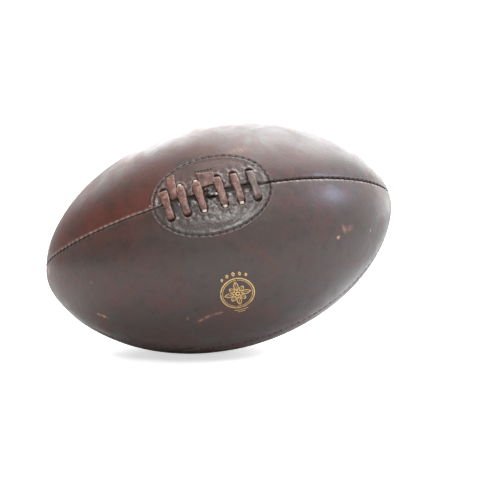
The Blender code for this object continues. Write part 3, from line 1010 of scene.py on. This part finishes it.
def tongue_tab(look, thread_look):
    """The small red-brown tab above the slit, with a line of stitches above it."""
    rows = np.linspace(0, 1, TAB_GRID[0])[:, None]
    columns = np.linspace(-1, 1, TAB_GRID[1])[None, :]
    length = TAB_LENGTH[0] - TAB_LENGTH[1] * columns
    across = (TAB_FOOT + length * rows + 0.4 * np.sin(3.2 * columns)) * MM
    x = (0.3 + columns * (TAB_HALF_WIDTH[0] + TAB_HALF_WIDTH[1] * rows) + 0.2 * rows) * MM
    rim = np.maximum(np.abs(columns) ** 12, np.abs(2 * rows - 1) ** 12)
    height = (0.3 + 0.6 * (1 - rows) ** 2 - 0.5 * rim) * MM
    points = lace_point(x, across, height)
    lift = 0.3 * MM * lumps(points, 4 * MM, 8) * (1 - rim)
    points = points + outward(*lace_angles(x, across)) * lift[..., None]
    faces = grid_faces(*TAB_GRID)[:, ::-1]
    edge = 0.2 * np.clip(rim, 0, 1)
    piece("tongue_tab", points, faces, look, "lace_leather", TAB, edge=edge)
    reach = np.linspace(-1, 1, 7)
    parts = []
    for index in range(TAB_STITCHES):
        xs = (TAB_STITCHES_START[0] + TAB_STITCH_PITCH * index + reach * 0.95) * MM
        arcs = (TAB_STITCHES_START[1] - 0.14 * index - reach * 0.05) * MM
        latitude, turn = lace_angles(xs, arcs)
        heights = undulation(skin(latitude, turn)) - (0.5 + 0.5 * np.abs(reach) ** 3) * MM
        parts.append(capsule(raised(latitude, turn, heights), TAB_STITCH_RADIUS))
    joined("tab_stitches", parts, thread_look, "linen_thread")


def dome(x, across, height, sizes, rings=8, sides=16):
    """Verts and faces of a small dome on the skin."""
    rise = np.linspace(0, math.pi / 2, rings)[:, None]
    turns = ring(sides)
    spread = np.sin(rise + 0.02)
    points = lace_point(
        x + sizes[0] * spread * np.cos(turns),
        across + sizes[1] * spread * np.sin(turns),
        height + sizes[2] * np.cos(rise) + 0 * turns,
    )
    return points.reshape(-1, 3), grid_faces(rings, sides, wrap=True)


# Lace holes that the tongue swells up into: bar and side. Then the half-sizes of the swellings, and
# where the one beside the neck is: x, across and height
SWOLLEN_HOLES = ((1, 1), (2, 1), (2, -1), (3, -1), (4, -1))
SWELLING = (1.7 * MM, 1.3 * MM, 1.0 * MM)
NECK_SWELLING = (1.1 * MM, 0.9 * MM, 0.7 * MM)
NECK_SWELLING_PLACE = (5.3 * MM, -2.5 * MM, 0.8 * MM)


def tongue_sheet(look):
    """The guard under the slit. It shows in some of the lace holes, and beside the neck."""
    rows = np.linspace(-1, 1, TONGUE_GRID[0])[:, None]
    columns = np.linspace(-1, 1, TONGUE_GRID[1])[None, :]
    share = np.sin(rows * TONGUE_END)
    x = LACING_X + TONGUE_OVAL[0] * share + 0 * columns
    across = columns * TONGUE_OVAL[1] * np.sqrt(1 - share**2)
    depth = TONGUE_DEPTH + 0.25 * MM * lumps(np.stack([x, across, 0 * x], -1), 6 * MM, 9)
    points = lace_point(x, across, -depth)
    faces = grid_faces(*TONGUE_GRID)[:, ::-1]
    # The whole sheet is painted near black, as painted shade under the slit; the swellings are not
    piece("tongue", points, faces, look, "suede", TONGUE, grime=np.full(x.shape, 0.98))
    parts = [
        dome(hole_x(index, side), side * (HOLE_OFFSET + 1.35 * MM), -1.4 * MM, SWELLING)
        for index, side in SWOLLEN_HOLES
    ]
    # The pale dome beside the neck gives a white spot there: a painted highlight in pale suede
    parts.append(dome(*NECK_SWELLING_PLACE, NECK_SWELLING))
    unshaded = np.zeros(sum(len(verts) for verts, _ in parts))
    joined("tongue_swellings", parts, look, "suede", grime=unshaded)


# The neck's middle line, out of the slit and over to the right: x, across, height and the radius in
# mm, and how deep its pleats are as a share of the radius
NECK_PATH = (
    (-1.6, 0.2, -6.6, 2.5, 0.05),
    (-1.5, 0.3, -4.6, 2.4, 0.12),
    (-1.2, 0.4, -2.8, 1.9, 0.22),
    (-0.7, 0.5, -1.7, 1.75, 0.26),
    (0.0, 0.5, -0.6, 2.6, 0.30),
    (0.9, 0.3, 0.5, 3.8, 0.30),
    (1.7, 0.0, 1.0, 4.3, 0.28),
    (2.1, -0.2, 1.25, 3.7, 0.30),
    (2.0, -0.1, 0.9, 2.2, 0.35),
    (1.9, 0.0, 0.5, 0.3, 0.0),
)
PLEATS = 5
NECK_WAIST = (LACING_X - 0.95 * MM, 0.45 * MM, -2.1 * MM)
TIE_TURNS = 2.6


def bladder_neck(look):
    """The gathered end of the neck, in the widest part of the slit."""
    stations = smoothed(NECK_PATH, 8) * np.array([MM, MM, MM, MM, 1])
    centres = lace_point(LACING_X + stations[:, 0], stations[:, 1], stations[:, 2])
    place = np.array(skin_frame(*[float(v) for v in lace_angles(LACING_X, 0.0)]).to_3x3())
    turns = ring(NECK_SIDES)
    pleat = stations[:, 4:5]
    lobes = np.abs(np.cos(PLEATS / 2 * turns + 0.35 * np.sin(2 * turns + 1)))
    uneven = 1 + 0.10 * np.sin(turns * 2 + 0.7) + 0.06 * np.sin(5 * turns + 30 * pleat)
    radius = (stations[:, 3:4] * (1 + pleat * (1.6 * lobes - 1)) * uneven)[..., None]
    first = place @ np.array([0.85, 0.1, -0.42])
    second = place @ np.array([-0.1, 0.92, -0.1])
    points = centres[:, None] + radius * np.cos(turns)[..., None] * first
    points = points + radius * np.sin(turns)[..., None] * second
    creases = (0.55 * MM * lumps(points, 2.4 * MM, 32))[..., None]
    points = points + creases * np.array([1.0, 0.25, 0.35])
    faces = grid_faces(len(stations), NECK_SIDES, wrap=True)
    piece("bladder_neck", points, faces, look, "rubber")


def neck_tie(look):
    """Cord wound round the neck's waist, with two loose ends."""
    turns = np.linspace(0, TIE_TURNS * math.tau, 110)
    xs = NECK_WAIST[0] + 2.05 * MM * np.cos(turns)
    arcs = NECK_WAIST[1] + 2.15 * MM * np.sin(turns)
    heights = NECK_WAIST[2] + (0.25 * turns / math.tau - 0.5) * MM - 0.5 * (xs - NECK_WAIST[0])
    parts = [capsule(lace_point(xs, arcs, heights), STITCH_RADIUS)]
    reach = np.linspace(0, 1, 16)
    for side in (-1, 1):
        xs = LACING_X + (-2.4 - 1.6 * reach + 0.4 * side * reach) * MM
        arcs = (1.2 + side * (1.2 * reach + 1.1 * reach**2)) * MM
        heights = (-1.2 + 2.4 * np.sin(0.8 * math.pi * reach) - 0.3 * reach) * MM
        parts.append(capsule(lace_point(xs, arcs, heights), STITCH_RADIUS))
    joined("neck_tie", parts, look, "tie_cord")


# Inner layers


def oval_share(latitude, turn, oval):
    """How far from the lacing's middle a place is, as a share of an oval round it."""
    across = (np.mod(turn - LACE_SEAM + math.pi, math.tau) - math.pi) * radius_at(latitude)
    x = HALF_LENGTH * np.sin(latitude) - LACING_X
    return np.hypot(x / oval[0], across / oval[1])


def inner_gore(name, step, look):
    """A smooth lining under one panel, cut away behind the lacing."""
    latitude = np.linspace(-LINING_END, LINING_END, LINING_GRID[0])[:, None]
    start = LINING_SEAM / radius_at(latitude)
    share = np.linspace(0, 1, LINING_GRID[1])
    turn = LACE_SEAM + step * QUARTER + start + (QUARTER - 2 * start) * share
    points = raised(latitude, turn, -LINING_DEPTH)
    faces = grid_faces(*LINING_GRID)
    window = oval_share(latitude, turn, LINING_WINDOW).ravel()
    piece(name, points, faces[window[faces].min(axis=1) > 1], look, "canvas", LINING)


def facing_half(name, side, look):
    """Half of the reinforcement under the lace holes."""
    share = np.sin(np.linspace(-FACING_END, FACING_END, FACING_GRID[0]) * math.pi / 180)[:, None]
    outer = FACING_OVAL[1] * np.sqrt(1 - share**2)
    columns = np.linspace(0, 1, FACING_GRID[1])[None, :]
    across = FACING_SEAM + (outer - FACING_SEAM) * columns
    x = LACING_X + FACING_OVAL[0] * share + 0 * across
    points = lace_point(x, side * across, -FACING_DEPTH)
    faces = grid_faces(*FACING_GRID)
    away = [np.hypot(x - hole_x(index, side), across - HOLE_OFFSET) for index in range(BARS)]
    away = np.min(away, axis=0).ravel()
    faces = faces[away[faces].min(axis=1) > FACING_HOLE]
    faces = faces if side > 0 else faces[:, ::-1]
    piece(name, points, faces, look, "facing_leather", FACING, edge=np.zeros(x.shape))


def bladder(look):
    """The bag inside, pressed in under the tongue."""
    rows, columns = BLADDER_GRID
    latitude = np.linspace(-BLADDER_END, BLADDER_END, rows)[:, None]
    turn = ring(columns) + 0 * latitude
    share = oval_share(latitude, turn, BLADDER_DENT)
    rise = (BLADDER_DENT_DEPTH - BLADDER_DEPTH) * smooth_step((share - 0.8) / 0.6)
    points = raised(latitude, turn, rise - BLADDER_DENT_DEPTH)
    piece("bladder", points, grid_faces(rows, columns, wrap=True), look, "rubber")


# The gold motif on the lower front panel: a rosette in a double ring. It stands for a printed
# crest. Sizes are in mm
MOTIF_X = 3.4 * MM
MOTIF_TURN = LACE_SEAM - math.radians(49)
FOIL_HEIGHTS = (0.04, 0.09, 0.04)
RINGS = ((12.3, 0.75), (10.9, 0.35))
PETALS = 8
PETAL_FOOT = 2.6
PETAL_TIPS = (9.6, 7.2)
DIAMONDS = (-2, -1, 0, 1, 2)
DIAMOND_STEP = 17
DIAMOND_RADIUS = 16.0
BAR_LINES = ((-14.6, 5.2), (-16.3, 2.8))


def ribbon(outline, width, closed=True):
    """A flat band along an outline round the motif's centre."""
    if closed:
        slope = np.roll(outline, -1, axis=0) - np.roll(outline, 1, axis=0)
    else:
        slope = np.gradient(outline, axis=0)
    slope = unit(slope)
    side = np.stack([-slope[:, 1], slope[:, 0]], -1) * width / 2
    flat = np.stack([outline + side, outline, outline - side])
    latitude = np.arcsin((MOTIF_X + flat[..., 0] * MM) / HALF_LENGTH)
    turn = MOTIF_TURN + flat[..., 1] * MM / radius_at(latitude)
    height = undulation(skin(latitude, turn)) + np.array(FOIL_HEIGHTS)[:, None] * MM
    verts = raised(latitude, turn, height)
    return verts.reshape(-1, 3), grid_faces(3, len(outline), wrap=closed)


def gold_motif(look):
    turns = ring(96)
    circle = np.stack([np.cos(turns), np.sin(turns)], -1)
    parts = [ribbon(circle * radius, width) for radius, width in RINGS]
    parts.append(ribbon(circle[::6] * 1.4, 0.9))
    reach = np.linspace(0, 1, 25)
    bulge = 1.55 * np.sin(math.pi * reach) ** 0.8
    for petal in range(PETALS):
        angle = petal * math.tau / PETALS
        turn = np.array([[math.cos(angle), math.sin(angle)], [-math.sin(angle), math.cos(angle)]])
        up = PETAL_FOOT + (PETAL_TIPS[petal % 2] - PETAL_FOOT) * reach
        leaf = np.concatenate([np.stack([bulge, up], -1), np.stack([-bulge, up], -1)[::-1][1:-1]])
        parts.append(ribbon(leaf @ turn, 0.55))
        vein = np.stack([0 * reach, up * 0.86 + 0.6], -1)
        parts.append(ribbon(vein @ turn, 0.28, closed=False))
    rounding = 0.12 * np.tile(circle[::32], (4, 1))
    for place in DIAMONDS:
        angle = math.radians(place * DIAMOND_STEP)
        centre = np.array([math.sin(angle), math.cos(angle)]) * DIAMOND_RADIUS
        corners = np.array([[0, 1], [0.7, 0], [0, -1], [-0.7, 0]]) * (1.45 - 0.2 * abs(place))
        parts.append(ribbon(np.repeat(corners + centre, 3, axis=0) + rounding, 0.6))
    for low, half in BAR_LINES:
        line = np.linspace(-half, half, 20)
        parts.append(ribbon(np.stack([line, low + 0.02 * line**2], -1), 0.5, closed=False))
    joined("gold_motif", parts, look, "cover_leather")


# The set. Directions are in degrees: azimuth from the camera's side round to its right, and
# elevation
VIEW_YAW = math.radians(1.5)
VIEW_ROLL = math.radians(13.6)
VIEW_ELEVATION = math.radians(7.2)
BALL_FROM_CAMERA = Vector((-0.0246, 0.6972, 0.0098))
LENS = 61.2
FLOOR_RADIUS = 1.6
FLOOR_BOUNCE = 0.6
FLOOR_GLOW = 0.6
WHITE = (1.0, 1.0, 1.0, 1.0)
# Azimuth towards which the world is brightest, and its strength on the other side
WORLD_SIDES = ((180, 0.5), (90, 0.35))
WORLD_STRENGTH = 1.35
# Azimuth, elevation, distance, size, power and colour
LIGHTS = {
    "backdrop": (168, 41, 1.6, 2.4, 46, (0.94, 0.98, 1.0)),
    "overhead": (110, 72, 1.5, 1.3, 16, (1, 1, 1)),
    "left_back": (222, 38, 1.6, 1.2, 6, (0.92, 0.98, 1.0)),
    "window": (72.5, 32.5, 1.6, 0.42, 7.8, (0.66, 0.74, 1.0)),
    "front": (2, 40, 1.7, 0.5, 12, (1, 1, 1)),
    "right_back": (122, 4, 1.6, 0.9, 4.5, (1, 1, 1)),
}


def view_turn():
    """Turns the ball's axes to the level camera's: right, forwards and up."""
    return (
        Matrix.Rotation(VIEW_YAW, 3, "Z")
        @ Matrix.Rotation(-VIEW_ROLL, 3, "Y")
        @ Matrix.Rotation(VIEW_ELEVATION, 3, "X")
    )


def true_up():
    """Upwards in the room: the ball leans, with its right-hand end raised."""
    level = Vector((0, -math.sin(VIEW_ELEVATION), math.cos(VIEW_ELEVATION)))
    return view_turn().transposed() @ level


def room_direction(azimuth, elevation):
    azimuth = math.radians(azimuth)
    elevation = math.radians(elevation)
    flat = math.cos(elevation)
    level = (math.sin(azimuth) * flat, -math.cos(azimuth) * flat, math.sin(elevation))
    tilted = Matrix.Rotation(VIEW_ELEVATION, 3, "X") @ Vector(level)
    return view_turn().transposed() @ tilted


def add_camera():
    data = bpy.data.cameras.new("camera")
    data.lens = LENS
    data.clip_start = 0.01
    camera = linked("camera", data)
    back = view_turn().transposed()
    axes = (back @ Matrix.Rotation(math.radians(90), 3, "X")).to_4x4()
    camera.matrix_world = Matrix.Translation(back @ -BALL_FROM_CAMERA) @ axes
    bpy.context.scene.camera = camera


def add_light(name, azimuth, elevation, distance, size, power, colour):
    data = bpy.data.lights.new(name, "AREA")
    data.shape = "DISK"
    data.size = size
    data.energy = power
    data.color = colour
    light = linked(name, data)
    direction = room_direction(azimuth, elevation)
    light.location = direction * distance
    light.rotation_euler = direction.to_track_quat("Z", "Y").to_euler()


def add_floor(panels):
    """A white disc under the panels' lowest point. Seen from below it is clear."""
    up = true_up()
    low = min(vertex.co.dot(up) for panel in panels for vertex in panel.data.vertices)
    look = Look("floor", Roughness=0.9, Specular_IOR_Level=0.1)
    speck = look.noise(12 * MM, 4)
    look.colour = look.mix(speck, (0.94, 0.94, 0.94), (0.97, 0.97, 0.97))
    seen = look.node("ShaderNodeLightPath").outputs["Is Camera Ray"]
    from_below = look.node("ShaderNodeNewGeometry").outputs["Backfacing"]
    look.shader.inputs["Emission Color"].default_value = WHITE
    look.colour = look.mix(seen, (FLOOR_BOUNCE, FLOOR_BOUNCE, FLOOR_BOUNCE), look.colour)
    look.finish(
        Emission_Strength=look.times(seen, FLOOR_GLOW),
        Alpha=look.math("SUBTRACT", 1.0, look.times(seen, from_below)),
    )
    rows, columns = FLOOR_GRID
    turns = ring(columns)
    radii = np.linspace(0.0005, FLOOR_RADIUS, rows)[:, None]
    points = np.stack([radii * np.cos(turns), radii * np.sin(turns), 0 * radii + 0 * turns], -1)
    faces = grid_faces(rows, columns, wrap=True)
    floor = linked("floor", mesh_from("floor", points, faces, look.material))
    turn = up.to_track_quat("Z", "Y").to_matrix().to_4x4()
    floor.matrix_world = Matrix.Translation(up * (low + 0.05 * MM)) @ turn


def add_world():
    """Plain white to the camera. For the ball it is dimmer on the camera's side and the left."""
    world = bpy.data.worlds.new("studio")
    world.use_nodes = True
    nodes = Nodes(world.node_tree)
    direction = nodes.node("ShaderNodeTexCoord").outputs["Generated"]
    sides = []
    for azimuth, low in WORLD_SIDES:
        inputs = {0: direction, 1: room_direction(azimuth, 0)}
        toward = nodes.node("ShaderNodeVectorMath", inputs, operation="DOT_PRODUCT")
        toward = toward.outputs["Value"]
        sides.append(nodes.range(toward, -1.0, 0.9, low, WORLD_STRENGTH, "LINEAR"))
    seen = nodes.node("ShaderNodeLightPath").outputs["Is Camera Ray"]
    strength = nodes.math("ADD", nodes.times(*sides), seen)
    background = world.node_tree.nodes["Background"]
    nodes.fill(background.inputs["Color"], WHITE)
    nodes.fill(background.inputs["Strength"], strength)
    bpy.context.scene.world = world


def add_set(panels):
    add_world()
    bpy.context.scene.view_settings.view_transform = "Standard"
    for name, values in LIGHTS.items():
        add_light(name, *values)
    add_floor(panels)


def build():
    leather = cover_leather()
    looks = {name: thin_leather(name) for name in LEATHERS}
    suede_look = suede()
    dark_thread = thread("dark_thread", (0.055, 0.038, 0.03), (0.012, 0.009, 0.007))
    rubber_look = rubber()
    lining = canvas()
    panels = []
    for name, step, side in (
        ("lace_upper", 0, 1),
        ("rear_upper", 1, 0),
        ("rear_lower", 2, 0),
        ("lace_lower", 3, -1),
    ):
        panels.append(cover_panel(f"panel_{name}", step, side, leather))
        inner_gore(f"lining_{name}", step, lining)
    for name, side in (("facing_upper", 1), ("facing_lower", -1)):
        facing_half(name, side, looks["facing_leather"])
    left = math.asin((LACING_X - FACING_OVAL[0]) / HALF_LENGTH)
    right = math.asin((LACING_X + FACING_OVAL[0]) / HALF_LENGTH)
    for name, step, start, end in (
        ("lace_left", 0, -STITCHES_END, left),
        ("lace_right", 0, right, STITCHES_END),
        ("top", 1, -STITCHES_END, STITCHES_END),
        ("rear", 2, -STITCHES_END, STITCHES_END),
        ("bottom", 3, -STITCHES_END, STITCHES_END),
    ):
        seam_stitches(f"seam_thread_{name}", step, start, end, dark_thread)
    oval_stitches(dark_thread)
    lace(looks["lace_leather"], looks["lace_leather_greyed"])
    lace_tail(looks["lace_leather_pale"])
    tongue_tab(looks["lace_leather_dark"], dark_thread)
    tongue_sheet(suede_look)
    bladder_neck(rubber_look)
    neck_tie(thread("tie_cord", (0.20, 0.095, 0.05), (0.07, 0.035, 0.02)))
    bladder(rubber_look)
    gold_motif(gold_foil())
    return panels


add_camera()
add_set(build())
